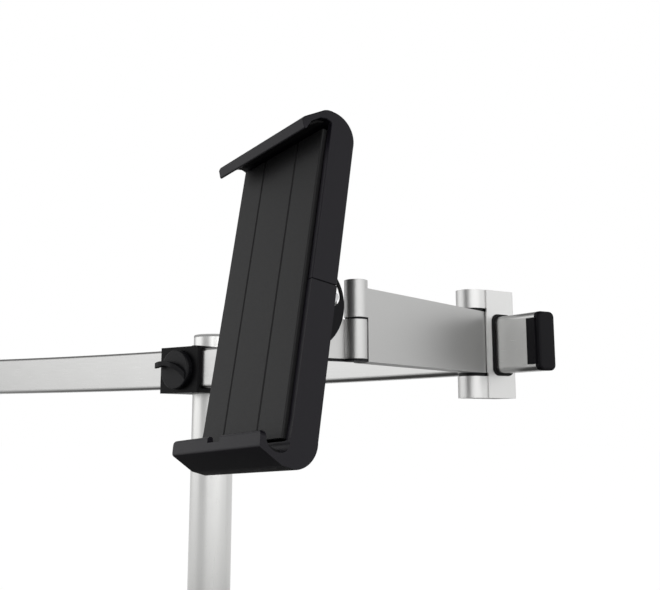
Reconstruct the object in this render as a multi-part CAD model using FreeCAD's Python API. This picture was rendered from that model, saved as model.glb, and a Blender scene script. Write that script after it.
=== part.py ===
import FreeCAD, Part
import math
import os

# Monitor and tablet arm. Millimetres, Z up, Z axis on the pole's axis,
# origin at the pole's lower end, the person who reads the tablet is on the -Y side.

os.makedirs("parts", exist_ok=True)
V = FreeCAD.Vector
X_AXIS = V(1, 0, 0)
Y_AXIS = V(0, 1, 0)
Z_AXIS = V(0, 0, 1)

# Fits
RUNNING_GAP = 0.05
SCREW_GAP = 0.10
SEAT_GAP = 0.15
OPEN_GAP = 0.40

# Pole
POLE_R = 20.0
POLE_LENGTH = 400.0
POLE_WALL = 2.0
POLE_CAP_HEAD = 2.5
POLE_PLUG_DEPTH = 14.0
POLE_PLUG_WALL = 3.0
POLE_CAP_ROUND = 1.2
FOOT_R = 19.8
FOOT_LENGTH = 60.0

# Curved crossbar, its arc centre is on the user's side
BAR_FRONT_RADIUS = 1148.05
BAR_TO_POLE = 41.15
BAR_DEPTH = 14.0
BAR_HEIGHT = 37.0
BAR_WALL = 2.0
BAR_EDGE_R = 3.6
BAR_BELOW_TOP = 34.5
BAR_Z = POLE_LENGTH - BAR_BELOW_TOP
BAR_HALF_ANGLE = 20.22
BAR_CENTRE_Y = -(BAR_FRONT_RADIUS + BAR_TO_POLE)
CAP_LENGTH = 4.2
CAP_PLUG = 16.0
CAP_TAB_LENGTH = 6.2
CAP_TAB_HEIGHT = 29.0
CAP_TAB_PROUD = 1.0
CAP_ROUND = 2.0

# Pole clamp
CLAMP_WIDTH = 52.0
CLAMP_BELOW = 22.5
CLAMP_ABOVE = 20.5
CLAMP_BOTTOM = BAR_Z - CLAMP_BELOW
CLAMP_TOP = BAR_Z + CLAMP_ABOVE
CLAMP_PLATE = 4.4
LINER_WALL = 1.9
CLAMP_SCREW_R = 1.5
CLAMP_SCREW_HEAD_R = 4.0
CLAMP_SCREW_HEAD = 2.6
CLAMP_SCREW_LENGTH = 9.0
CLAMP_SCREW_Y = -24.7
KNOB_R = 18.5
KNOB_THICK = 5.6
KNOB_GAP = 0.4
KNOB_BOLT_R = 4.0
PAD_R = 6.0
PAD_THICK = 1.5
WING_BEND = 30.6
WING_BEND_X = -9.1
WING_BEND_Z = -24.8
WING_THICK = 4.0
WING_HEIGHT = 8.0
WING_TIP_X = -20.4
WING_ROOT_X = 15.0

# Sliding bracket on the crossbar
BRACKET_ANGLE = 18.41
BRACKET_FRONT = -6.6
BRACKET_BACK = 17.7
BRACKET_LENGTH = 20.7
BRACKET_BELOW = 34.7
BRACKET_ABOVE = 36.0
BRACKET_BOTTOM = BAR_Z - BRACKET_BELOW
BRACKET_TOP = BAR_Z + BRACKET_ABOVE
BUSH_FRONT = 2.4
BUSH_BACK = 1.5
BUSH_EDGE = 1.7
BUSH_DEPTH = 2.9
BUSH_LIP = 0.5
HINGE_X = -10.7
HINGE_Y = -10.8
HINGE_R = 9.8
HINGE_PIN_R = 3.0
HINGE_WASHER = 2.1
LOCK_SCREW_R = 3.0
LOCK_SCREW_LENGTH = 12.0

# Arm
ARM_LENGTH = 136.0
ARM_TURN = 2.59
ARM_BELOW = 18.6
ARM_ABOVE = 21.6
ARM_BOTTOM = BAR_Z - ARM_BELOW
ARM_TOP = BAR_Z + ARM_ABOVE
ARM_THICK = 11.5
KNUCKLE_R = 6.5
KNUCKLE_PIN_R = 2.5
KNUCKLE_RISE = 4.6
KNUCKLE_DROP = 16.1
KNUCKLE_TOP = ARM_TOP + KNUCKLE_RISE
KNUCKLE_SPLIT = ARM_TOP - KNUCKLE_DROP
KNUCKLE_WASHER = 1.0
KNUCKLE_FLOOR = 1.7
KNUCKLE_BOTTOM = ARM_BOTTOM + KNUCKLE_FLOOR
KNUCKLE_COVER = 1.3

# Tilt joint
HEAD_TURN = -18.2
TILT_REACH = 34.2
TILT_RISE = 6.0
TILT_Z = KNUCKLE_SPLIT + TILT_RISE
TILT_REST = 10.7
EAR_PLATE = 4.0
EAR_BOSS_R = 8.0
DISC_R = 25.4
DISC_PLATE = 2.0
SLOT_R = 19.0
SLOT_HALF_WIDTH = 5.2
SLOT_START = 24.8
SLOT_SWEEP = 35.0
STUD_R = 2.5
STUD_ANGLE = 12.6
TILT_BOLT_R = 3.0
FRICTION_WASHER = 0.8

# Tablet holder, local axes: X to the reader's right, Y to the back, Z up
HOLDER_TURN = 4.02
HOLDER_HALF = 45.0
HOLDER_DEPTH = 14.6
HOLDER_TOP = 89.6
HOLDER_BOTTOM = -HOLDER_TOP
HOLDER_WALL = 4.0
HOLDER_BACK_WALL = 2.5
PIVOT_BEHIND = 8.7
PIVOT_ABOVE = 2.0
SEAM_GAP = 0.3
WINDOW_R = 25.2
FLANGE_R = WINDOW_R - SEAM_GAP
FLANGE_PLATE = 2.0
FLANGE_SUNK = 0.2
HUB_R = 7.0
HUB_LENGTH = 6.8
PAD_HALF = HOLDER_HALF - 4.5
PAD_PROUD = 2.4
PAD_PLATE = 3.0
GROOVE_INSET = 23.7
GROOVE_WIDTH = 1.0
GROOVE_DEPTH = 0.9
NOTCH_WIDTH = 12.5
NOTCH_DEPTH = 3.2
LIP_HEIGHT = 14.4
LIP_CORNER_R = 3.0
RAIL_HALF = HOLDER_HALF - 4.4
RAIL_WALL = 2.0
HOLDER_SCREW_X = 26.0
HOLDER_SCREW_LEVELS = (-66.0, -36.0)
HOLDER_SCREW_R = 1.5
SHOE_LEVELS = (-50.0, 50.0)
SHOE_HALF = 6.0
SHOE_THICK = 0.32

PARTS = {}


def box(x0, x1, y0, y1, z0, z1):
    return Part.makeBox(x1 - x0, y1 - y0, z1 - z0, V(x0, y0, z0))


def rod(r, length, base, axis=Z_AXIS):
    return Part.makeCylinder(r, length, base, axis)


def ring(r_in, r_out, length, base, axis=Z_AXIS):
    return rod(r_out, length, base, axis).cut(rod(r_in, length, base, axis))


def wire_face(points, arcs=()):
    # points in order; an index in arcs marks a point that an arc passes through
    edges = []
    n = len(points)
    i = 0
    while i < n:
        j = (i + 1) % n
        if j in arcs:
            k = (i + 2) % n
            edges.append(Part.Arc(points[i], points[j], points[k]).toShape())
            i += 2
        else:
            edges.append(Part.makeLine(points[i], points[j]))
            i += 1
    return Part.Face(Part.Wire(edges))


def rounded_face(y0, y1, z0, z1, r):
    # rounded rectangle in the plane X = 0
    c = r * (1 - math.sqrt(0.5))
    pts = [V(0, y0 + r, z0), V(0, y1 - r, z0), V(0, y1 - c, z0 + c), V(0, y1, z0 + r)]
    pts += [V(0, y1, z1 - r), V(0, y1 - c, z1 - c), V(0, y1 - r, z1)]
    pts += [V(0, y0 + r, z1), V(0, y0 + c, z1 - c), V(0, y0, z1 - r)]
    pts += [V(0, y0, z0 + r), V(0, y0 + c, z0 + c)]
    return wire_face(pts, arcs=(2, 5, 8, 11))


def outward(solid):
    if solid.Volume < 0:
        solid.reverse()
    return solid


def mirrored(shape):
    return shape.mirror(V(0, 0, 0), X_AXIS)


def placed(shape, base, turn_z, tilt_x=0.0, turn_y=0.0):
    rot = FreeCAD.Rotation(Z_AXIS, turn_z)
    rot = rot.multiply(FreeCAD.Rotation(X_AXIS, tilt_x))
    rot = rot.multiply(FreeCAD.Rotation(Y_AXIS, turn_y))
    s = shape.copy()
    s.Placement = FreeCAD.Placement(base, rot).multiply(s.Placement)
    return s


# Crossbar sections swept round the arc centre

def swept(y0, y1, z0, z1, r, start, end):
    # start and end are arc angles in degrees, positive to the reader's right
    face = rounded_face(y0, y1, z0, z1, r)
    centre = V(0, BAR_CENTRE_Y, 0)
    face.rotate(centre, Z_AXIS, -end)
    return outward(face.revolve(centre, Z_AXIS, end - start))


def bar_section(grow, start, end):
    z0 = BAR_Z - BAR_HEIGHT / 2 - grow
    z1 = BAR_Z + BAR_HEIGHT / 2 + grow
    y0 = -BAR_TO_POLE - grow
    y1 = -BAR_TO_POLE + BAR_DEPTH + grow
    return swept(y0, y1, z0, z1, max(BAR_EDGE_R + grow, 0.8), start, end)


def arc_degrees(length):
    return math.degrees(length / BAR_FRONT_RADIUS)


def make_pole():
    # the foot is turned down a little, so that it slips into its socket up to the shoulder
    tube_top = POLE_LENGTH - POLE_CAP_HEAD
    bore = POLE_R - POLE_WALL
    shoulder = POLE_R - FOOT_R
    skirt = ring(bore, POLE_R, tube_top - FOOT_LENGTH, V(0, 0, FOOT_LENGTH))
    outer = [e for e in skirt.Edges if e.BoundBox.ZMax < FOOT_LENGTH + 0.01 and e.BoundBox.XMax > POLE_R - 0.01]
    skirt = skirt.makeChamfer(shoulder * 0.9, outer)
    pole = skirt.fuse(ring(bore, FOOT_R, FOOT_LENGTH, V(0, 0, 0))).removeSplitter()
    cap = rod(POLE_R, POLE_CAP_HEAD, V(0, 0, tube_top))
    cap = cap.makeFillet(POLE_CAP_ROUND, [cap.Edges[0]])
    plug = ring(bore - POLE_PLUG_WALL, bore - SCREW_GAP, POLE_PLUG_DEPTH, V(0, 0, tube_top - POLE_PLUG_DEPTH))
    cap = cap.fuse(plug)
    foot = ring(bore - POLE_PLUG_WALL, bore - SCREW_GAP, POLE_PLUG_DEPTH, V(0, 0, 0))
    floor = rod(bore - 1, POLE_CAP_HEAD, V(0, 0, 0))
    PARTS["pole"] = pole
    PARTS["pole_top_cap"] = cap
    PARTS["pole_foot_plug"] = foot.fuse(floor)


def make_crossbar():
    a = BAR_HALF_ANGLE
    bar = bar_section(0, -a, a).cut(bar_section(-BAR_WALL, -a - 1, a + 1))
    hole = rod(KNOB_BOLT_R + OPEN_GAP, BAR_DEPTH + 4, V(0, -BAR_TO_POLE - 2, BAR_Z - 1), Y_AXIS)
    PARTS["crossbar"] = bar.cut(hole)


def make_end_caps():
    # local X runs outward from the bar's end, local Y = 0 on the bar's front face
    a = BAR_HALF_ANGLE
    head = rounded_face(0, BAR_DEPTH, BAR_Z - BAR_HEIGHT / 2, BAR_Z + BAR_HEIGHT / 2, BAR_EDGE_R)
    head = head.extrude(V(CAP_LENGTH, 0, 0))
    outer = [e for e in head.Edges if e.BoundBox.XMin > CAP_LENGTH - 0.01]
    head = head.makeFillet(CAP_ROUND, outer)
    z0 = BAR_Z - CAP_TAB_HEIGHT / 2
    z1 = BAR_Z + CAP_TAB_HEIGHT / 2
    root = CAP_LENGTH - CAP_ROUND - 1
    tab = rounded_face(-CAP_TAB_PROUD, -SCREW_GAP, z0, z1, 0.4)
    tab.translate(V(-CAP_TAB_LENGTH, 0, 0))
    tab = tab.extrude(V(CAP_TAB_LENGTH + root, 0, 0))
    head = head.fuse([tab, box(0, root, -CAP_TAB_PROUD, CAP_TAB_PROUD, z0 + 1, z1 - 1)])
    end_y = BAR_CENTRE_Y + BAR_FRONT_RADIUS * math.cos(math.radians(a))
    head = placed(head, V(BAR_FRONT_RADIUS * math.sin(math.radians(a)), end_y, 0), -a)
    plug = bar_section(-BAR_WALL - SEAT_GAP, a - arc_degrees(CAP_PLUG), a + 0.02)
    hollow = bar_section(-BAR_WALL - 2.0, a - arc_degrees(CAP_PLUG) - 1, a - arc_degrees(2))
    cap = head.fuse(plug.cut(hollow))
    PARTS["end_cap_right"] = cap
    PARTS["end_cap_left"] = mirrored(cap)


def clamp_plan(z0, z1):
    # straight front, round back about the pole
    half = CLAMP_WIDTH / 2
    front = -BAR_TO_POLE - CLAMP_PLATE - SEAT_GAP
    pts = [V(-half, front, z0), V(half, front, z0), V(half, 0, z0), V(0, half, z0), V(-half, 0, z0)]
    return wire_face(pts, arcs=(3,)).extrude(V(0, 0, z1 - z0))


def make_clamp():
    half = CLAMP_WIDTH / 2
    bar_low = BAR_Z - BAR_HEIGHT / 2 - SEAT_GAP
    bar_high = BAR_Z + BAR_HEIGHT / 2 + SEAT_GAP
    bolt_z = (CLAMP_TOP + CLAMP_BOTTOM) / 2
    yoke = clamp_plan(CLAMP_BOTTOM, CLAMP_TOP).removeSplitter()
    corner = [e for e in yoke.Edges if is_front_corner(e)]
    yoke = yoke.makeFillet(1.5, corner)
    inside = box(-half - 1, half + 1, -BAR_TO_POLE - SEAT_GAP, half + 1, bar_low, bar_high)
    tall = CLAMP_TOP - CLAMP_BOTTOM
    foot = V(0, 0, CLAMP_BOTTOM)
    yoke = yoke.cut(inside).cut(bar_section(SEAT_GAP, -3, 3))
    yoke = yoke.cut(rod(POLE_R + OPEN_GAP, tall, foot))
    bolt_way = rod(KNOB_BOLT_R + SCREW_GAP, BAR_TO_POLE + 10, V(0, -BAR_TO_POLE - 10, bolt_z), Y_AXIS)
    screw_way = rod(CLAMP_SCREW_R + SCREW_GAP, tall, foot + V(0, CLAMP_SCREW_Y, 0))
    # the head below sits in a recess, the one above stands on the flange
    recess = CLAMP_SCREW_HEAD + SCREW_GAP
    recess_way = rod(CLAMP_SCREW_HEAD_R + SEAT_GAP, recess, foot + V(0, CLAMP_SCREW_Y, 0))
    PARTS["clamp_yoke"] = yoke.cut([bolt_way, screw_way, recess_way])

    liner_r = POLE_R + RUNNING_GAP + LINER_WALL
    bore_r = liner_r + RUNNING_GAP
    collar_low = bar_low + SEAT_GAP
    collar_high = bar_high - SEAT_GAP
    collar = largest(clamp_plan(collar_low, collar_high).cut(bar_section(SEAT_GAP, -3, 3)))
    collar = collar.cut(rod(bore_r, tall, foot))
    seat_y = -bore_r - 2.2
    seat = rod(PAD_R + SCREW_GAP, 10, V(0, seat_y, bolt_z), Y_AXIS)
    low_seat = CLAMP_BOTTOM + recess
    low_screw = rod(CLAMP_SCREW_R, CLAMP_SCREW_LENGTH, V(0, CLAMP_SCREW_Y, low_seat))
    high_screw = rod(CLAMP_SCREW_R, CLAMP_SCREW_LENGTH, V(0, CLAMP_SCREW_Y, CLAMP_TOP - CLAMP_SCREW_LENGTH))
    blind = CLAMP_SCREW_LENGTH + 3
    blind_low = rod(CLAMP_SCREW_R + SCREW_GAP, blind, V(0, CLAMP_SCREW_Y, low_seat))
    blind_high = rod(CLAMP_SCREW_R + SCREW_GAP, blind, V(0, CLAMP_SCREW_Y, CLAMP_TOP - blind))
    PARTS["clamp_collar"] = largest(collar.cut([bolt_way, seat, blind_low, blind_high]))

    liner = ring(POLE_R + RUNNING_GAP, liner_r, collar_high - collar_low, V(0, 0, collar_low))
    PARTS["clamp_liner"] = liner.cut(box(-1.5, 1.5, 0, liner_r + 1, collar_low, collar_high))

    low_head = rod(CLAMP_SCREW_HEAD_R, CLAMP_SCREW_HEAD, V(0, CLAMP_SCREW_Y, low_seat - CLAMP_SCREW_HEAD))
    high_head = rod(CLAMP_SCREW_HEAD_R, CLAMP_SCREW_HEAD, V(0, CLAMP_SCREW_Y, CLAMP_TOP))
    low_head = low_head.makeFillet(0.8, [low_head.Edges[2]])
    high_head = high_head.makeFillet(0.8, [high_head.Edges[0]])
    PARTS["clamp_screws"] = Part.makeCompound([low_head.fuse(low_screw), high_head.fuse(high_screw)])

    pad_y = -liner_r - RUNNING_GAP - PAD_THICK
    PARTS["clamp_pressure_pad"] = rod(PAD_R, PAD_THICK, V(0, pad_y, bolt_z), Y_AXIS)
    front = -BAR_TO_POLE - CLAMP_PLATE - SEAT_GAP - KNOB_GAP
    knob_y = front - KNOB_THICK
    bolt_tip = pad_y
    bolt = rod(KNOB_BOLT_R, bolt_tip - front + 3, V(0, front - 3, bolt_z), Y_AXIS)
    PARTS["clamp_bolt"] = bolt
    knob = rod(KNOB_R, KNOB_THICK, V(0, knob_y, bolt_z), Y_AXIS)
    knob = knob.makeFillet(1.6, [front_rim(knob)])
    knob = knob.fuse(make_wing(knob_y, bolt_z))
    PARTS["clamp_knob"] = knob.cut(rod(KNOB_BOLT_R + SCREW_GAP, 20, V(0, front - 3 - SCREW_GAP, bolt_z), Y_AXIS))


def is_front_corner(edge):
    c = edge.CenterOfMass
    return abs(abs(c.x) - CLAMP_WIDTH / 2) < 0.01 and c.y < -BAR_TO_POLE and edge.Length > 20


def front_rim(knob):
    rims = [e for e in knob.Edges if e.Curve.TypeId == "Part::GeomCircle"]
    return min(rims, key=lambda e: e.CenterOfMass.y)


def largest(shape):
    return max(shape.Solids, key=lambda s: s.Volume)


def make_wing(face_y, z):
    # finger wing on the knob: a blade bent round a wide arc, low at its root, high at its free tip
    tip = WING_TIP_X
    high = -WING_HEIGHT
    pts = [V(WING_ROOT_X, 1, 0), V(WING_ROOT_X, -1.2, 0), V(2, high + 1.6, 0), V(tip + 7.4, high, 0)]
    pts += [V(tip + 1.9, high + 0.6, 0), V(tip, high + 3.2, 0), V(tip + 0.8, high + 6, 0)]
    pts += [V(tip + 3.9, high + 7.6, 0), V(tip + 5.4, 1, 0)]
    side = wire_face(pts, arcs=(5,))
    side.translate(V(0, 0, -KNOB_R))
    slab = side.extrude(V(0, 0, 2 * KNOB_R))
    inner = WING_BEND - WING_THICK / 2
    bend = ring(inner, inner + WING_THICK, 2 * KNOB_R, V(WING_BEND_X, -KNOB_R, WING_BEND_Z), Y_AXIS)
    wing = slab.common(bend)
    wing.translate(V(0, face_y, z))
    return wing


# Bracket, local axes: X along the bar to the right, Y radial to the back

def bracket_point(x, y):
    a = math.radians(BRACKET_ANGLE)
    px = BAR_FRONT_RADIUS * math.sin(a) + x * math.cos(a) + y * math.sin(a)
    py = BAR_CENTRE_Y + BAR_FRONT_RADIUS * math.cos(a) - x * math.sin(a) + y * math.cos(a)
    return V(px, py, 0)


def in_bracket(shape):
    return placed(shape, bracket_point(0, 0), -BRACKET_ANGLE)


def opening_prism(grow, x0, x1):
    z0 = BAR_Z - BAR_HEIGHT / 2 - grow[2]
    z1 = BAR_Z + BAR_HEIGHT / 2 + grow[2]
    face = rounded_face(-grow[0], BAR_DEPTH + grow[1], z0, z1, BAR_EDGE_R + 1.2)
    face.translate(V(x0, 0, 0))
    return face.extrude(V(x1 - x0, 0, 0))


def make_bracket():
    height = BRACKET_TOP - BRACKET_BOTTOM
    hinge = V(HINGE_X, HINGE_Y, 0)
    body = box(-BRACKET_LENGTH, 0, BRACKET_FRONT, BRACKET_BACK, BRACKET_BOTTOM, BRACKET_TOP)
    back_edges = [e for e in body.Edges if e.Length > height - 1 and e.CenterOfMass.y > 0]
    body = body.makeFillet(1.2, back_edges)
    body = body.fuse(rod(HINGE_R, height, V(HINGE_X, HINGE_Y, BRACKET_BOTTOM)))
    web = box(HINGE_X - HINGE_R, HINGE_X + HINGE_R, HINGE_Y, 0, BRACKET_BOTTOM, BRACKET_TOP)
    body = body.fuse(web).removeSplitter()
    low = ARM_BOTTOM - HINGE_WASHER
    high = ARM_TOP + HINGE_WASHER
    pocket = rod(HINGE_R + OPEN_GAP, high - low, V(HINGE_X, HINGE_Y, low))
    front = box(HINGE_X - HINGE_R - 2, HINGE_X + HINGE_R + 2, -60, BRACKET_FRONT, low, high)
    way = opening_prism((BUSH_FRONT, BUSH_BACK, BUSH_EDGE), -BRACKET_LENGTH - 1, 1)
    pin_way = rod(HINGE_PIN_R + SCREW_GAP, height, V(HINGE_X, HINGE_Y, BRACKET_BOTTOM))
    screw_at = V(-BRACKET_LENGTH / 2, BAR_DEPTH / 2, BRACKET_BOTTOM)
    screw_way = rod(LOCK_SCREW_R + SCREW_GAP, 20, screw_at)
    body = body.cut([pocket, front, way, pin_way, screw_way])
    PARTS["slider_bracket"] = in_bracket(largest(body))

    fit = [g - 0.02 for g in (BUSH_FRONT, BUSH_BACK, BUSH_EDGE)]
    ring_out = opening_prism(fit, -BUSH_DEPTH, BUSH_LIP)
    ring_in = ring_out.copy()
    ring_in.translate(V(-BRACKET_LENGTH + BUSH_DEPTH - BUSH_LIP, 0, 0))
    hole = bar_section(SEAT_GAP, BRACKET_ANGLE - 2, BRACKET_ANGLE + 2)
    rings = [in_bracket(r).cut(hole) for r in (ring_out, ring_in)]
    PARTS["bracket_bushes"] = Part.makeCompound(rings)

    pin = rod(HINGE_PIN_R, height - 1.0, V(HINGE_X, HINGE_Y, BRACKET_BOTTOM + 0.5))
    PARTS["bracket_pin"] = in_bracket(pin)
    washer = ring(HINGE_PIN_R + SCREW_GAP, HINGE_R - 0.6, HINGE_WASHER - 0.1, hinge)
    upper = washer.copy()
    upper.translate(V(0, 0, ARM_TOP + 0.05))
    washer.translate(V(0, 0, low + 0.05))
    PARTS["bracket_washers"] = in_bracket(Part.makeCompound([washer, upper]))
    screw_top = BAR_Z - BAR_HEIGHT / 2 - 0.1
    screw = rod(LOCK_SCREW_R, LOCK_SCREW_LENGTH, screw_at + V(0, 0, screw_top - BRACKET_BOTTOM - LOCK_SCREW_LENGTH))
    socket = hexagon(1.7, 4.0, screw_at + V(0, 0, screw_top - BRACKET_BOTTOM - LOCK_SCREW_LENGTH))
    PARTS["bracket_lock_screw"] = in_bracket(screw.cut(socket))


def hexagon(r, length, base, axis=Z_AXIS):
    pts = []
    for i in range(7):
        a = math.radians(60 * i)
        pts.append(V(r * math.cos(a), r * math.sin(a), 0))
    prism = Part.Face(Part.makePolygon(pts)).extrude(V(0, 0, length))
    prism.Placement = FreeCAD.Placement(base, FreeCAD.Rotation(Z_AXIS, axis))
    return prism


# Arm, local axes at the knuckle: Y towards the bracket hinge

HINGE_AT = bracket_point(HINGE_X, HINGE_Y)
ARM_ANGLE = math.radians(ARM_TURN)
KNUCKLE_AT = HINGE_AT - V(-math.sin(ARM_ANGLE), math.cos(ARM_ANGLE), 0) * ARM_LENGTH


def make_arm():
    length = ARM_LENGTH
    drop = math.asin((HINGE_R - KNUCKLE_R) / length)
    height = ARM_TOP - ARM_BOTTOM
    near = V(KNUCKLE_R * math.cos(drop), -KNUCKLE_R * math.sin(drop), 0)
    far = V(HINGE_R * math.cos(drop), length - HINGE_R * math.sin(drop), 0)
    in_near = near - V(math.cos(drop), -math.sin(drop), 0) * ARM_THICK
    in_far = far - V(math.cos(drop), -math.sin(drop), 0) * ARM_THICK
    pts = [near, far, in_far, in_near, near]
    web = Part.Face(Part.makePolygon(pts)).extrude(V(0, 0, height))
    web.translate(V(0, 0, ARM_BOTTOM))
    web = web.cut(rod(KNUCKLE_R + OPEN_GAP, KNUCKLE_SPLIT - ARM_BOTTOM, V(0, 0, ARM_BOTTOM)))
    lower_corner = box(-20, 20, -20, 0, ARM_BOTTOM, KNUCKLE_SPLIT)
    web = web.cut(lower_corner)
    barrel = rod(HINGE_R, height, V(0, length, ARM_BOTTOM))
    end = rod(KNUCKLE_R, KNUCKLE_TOP - KNUCKLE_SPLIT, V(0, 0, KNUCKLE_SPLIT))
    arm = web.fuse([barrel, end]).removeSplitter()
    hinge_way = rod(HINGE_PIN_R + RUNNING_GAP, height, V(0, length, ARM_BOTTOM))
    pin_way = rod(KNUCKLE_PIN_R + RUNNING_GAP, 16, V(0, 0, KNUCKLE_SPLIT))
    arm = arm.cut([hinge_way, pin_way])
    PARTS["arm_link"] = placed(largest(arm), KNUCKLE_AT, ARM_TURN)


# Knuckle and tilt joint, local axes at the knuckle: Y to the back

def in_head(shape):
    return placed(shape, KNUCKLE_AT, HEAD_TURN)


def ear_outline():
    # outline of the knuckle's ear, Y towards the back, Z up, at X = 0
    py = -TILT_REACH
    r = EAR_BOSS_R
    pts = [V(0, 0, KNUCKLE_BOTTOM), V(0, py + 12.2, KNUCKLE_BOTTOM), V(0, py - 6.2, TILT_Z - 5.0)]
    pts += [V(0, py - r, TILT_Z), V(0, py, TILT_Z + r), V(0, py + 6.2, TILT_Z + 9.5)]
    pts += [V(0, -15.5, TILT_Z + 9.8), V(0, -11.6, TILT_Z + 5.0), V(0, -11.6, KNUCKLE_SPLIT + 1.0)]
    pts += [V(0, -9.6, KNUCKLE_SPLIT - KNUCKLE_WASHER), V(0, 0, KNUCKLE_SPLIT - KNUCKLE_WASHER)]
    return wire_face(pts, arcs=(3,))


def make_knuckle():
    top = KNUCKLE_SPLIT - KNUCKLE_WASHER
    half = DISC_PLATE / 4
    x1 = -half - FRICTION_WASHER
    x0 = x1 - EAR_PLATE
    barrel = rod(KNUCKLE_R, top - KNUCKLE_BOTTOM, V(0, 0, KNUCKLE_BOTTOM))
    plate = ear_outline()
    plate.translate(V(x0, 0, 0))
    ear = plate.extrude(V(EAR_PLATE, 0, 0))
    body = barrel.fuse(ear).removeSplitter()
    pin_way = rod(KNUCKLE_PIN_R + SCREW_GAP, 30, V(0, 0, KNUCKLE_BOTTOM + 2))
    bolt_way = rod(TILT_BOLT_R + SCREW_GAP, 20, V(x0 - 5, -TILT_REACH, TILT_Z), X_AXIS)
    stud_at = stud_point(x0 + 1.0)
    stud_way = rod(STUD_R + SCREW_GAP, EAR_PLATE, stud_at, X_AXIS)
    PARTS["knuckle"] = in_head(body.cut([pin_way, bolt_way, stud_way]))

    pin = rod(KNUCKLE_PIN_R, KNUCKLE_SPLIT + 15 - KNUCKLE_BOTTOM - 3, V(0, 0, KNUCKLE_BOTTOM + 2.5))
    PARTS["knuckle_pin"] = in_head(pin)
    washer = ring(KNUCKLE_PIN_R + SCREW_GAP, KNUCKLE_R - 0.5, KNUCKLE_WASHER - 0.1, V(0, 0, top + 0.05))
    PARTS["knuckle_washer"] = in_head(washer)
    cover = rod(KNUCKLE_R, KNUCKLE_COVER, V(0, 0, KNUCKLE_BOTTOM - KNUCKLE_COVER))
    strip = box(x0, x1, 12.7 - TILT_REACH, 0, KNUCKLE_BOTTOM - KNUCKLE_COVER, KNUCKLE_BOTTOM)
    PARTS["knuckle_bottom_cover"] = in_head(cover.fuse(strip).removeSplitter())

    stud = rod(STUD_R, 2 * half + FRICTION_WASHER + EAR_PLATE + 1.2, stud_at, X_AXIS)
    PARTS["tilt_stop_stud"] = in_head(stud)

    near_x = half + DISC_PLATE / 2
    bolt = rod(TILT_BOLT_R, 24.0, V(near_x - 20.0, -TILT_REACH, TILT_Z), X_AXIS)
    head = rod(6.0, 3.5, V(near_x + 1.0, -TILT_REACH, TILT_Z), X_AXIS)
    socket = hexagon(2.2, 3.0, V(near_x + 1.5, -TILT_REACH, TILT_Z), X_AXIS)
    PARTS["tilt_pivot_bolt"] = in_head(head.fuse(bolt).cut(socket))
    inner = ring(TILT_BOLT_R + SCREW_GAP, EAR_BOSS_R - 0.6, FRICTION_WASHER - 0.1, V(x1 + 0.05, -TILT_REACH, TILT_Z), X_AXIS)
    outer = ring(TILT_BOLT_R + SCREW_GAP, 6.5, 0.9, V(near_x + 0.05, -TILT_REACH, TILT_Z), X_AXIS)
    spring = ring(TILT_BOLT_R + SCREW_GAP, 6.2, 1.0, V(x0 - 1.05, -TILT_REACH, TILT_Z), X_AXIS)
    PARTS["tilt_washers"] = in_head(Part.makeCompound([inner, outer, spring]))
    nut = hexagon(6.0, 4.5, V(x0 - 5.6, -TILT_REACH, TILT_Z), X_AXIS)
    nut = nut.cut(rod(TILT_BOLT_R + SCREW_GAP, 10, V(x0 - 8, -TILT_REACH, TILT_Z), X_AXIS))
    PARTS["tilt_nut"] = in_head(nut)


def stud_point(x):
    a = math.radians(STUD_ANGLE)
    return V(x, -TILT_REACH + SLOT_R * math.cos(a), TILT_Z + SLOT_R * math.sin(a))


TILT_AT = KNUCKLE_AT + FreeCAD.Rotation(Z_AXIS, HEAD_TURN).multVec(V(0, -TILT_REACH, 0)) + V(0, 0, TILT_Z)
TILT_FRAME = FreeCAD.Rotation(Z_AXIS, HEAD_TURN).multiply(FreeCAD.Rotation(X_AXIS, -TILT_REST))
HOLDER_AT = TILT_AT - TILT_FRAME.multVec(V(0, HOLDER_DEPTH + PIVOT_BEHIND, PIVOT_ABOVE))


def in_tilt(shape):
    # holder centre, before the holder's turn about its own back-to-front axis
    return placed(shape, HOLDER_AT, HEAD_TURN, -TILT_REST)


def in_holder(shape):
    return placed(shape, HOLDER_AT, HEAD_TURN, -TILT_REST, -HOLDER_TURN)


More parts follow.
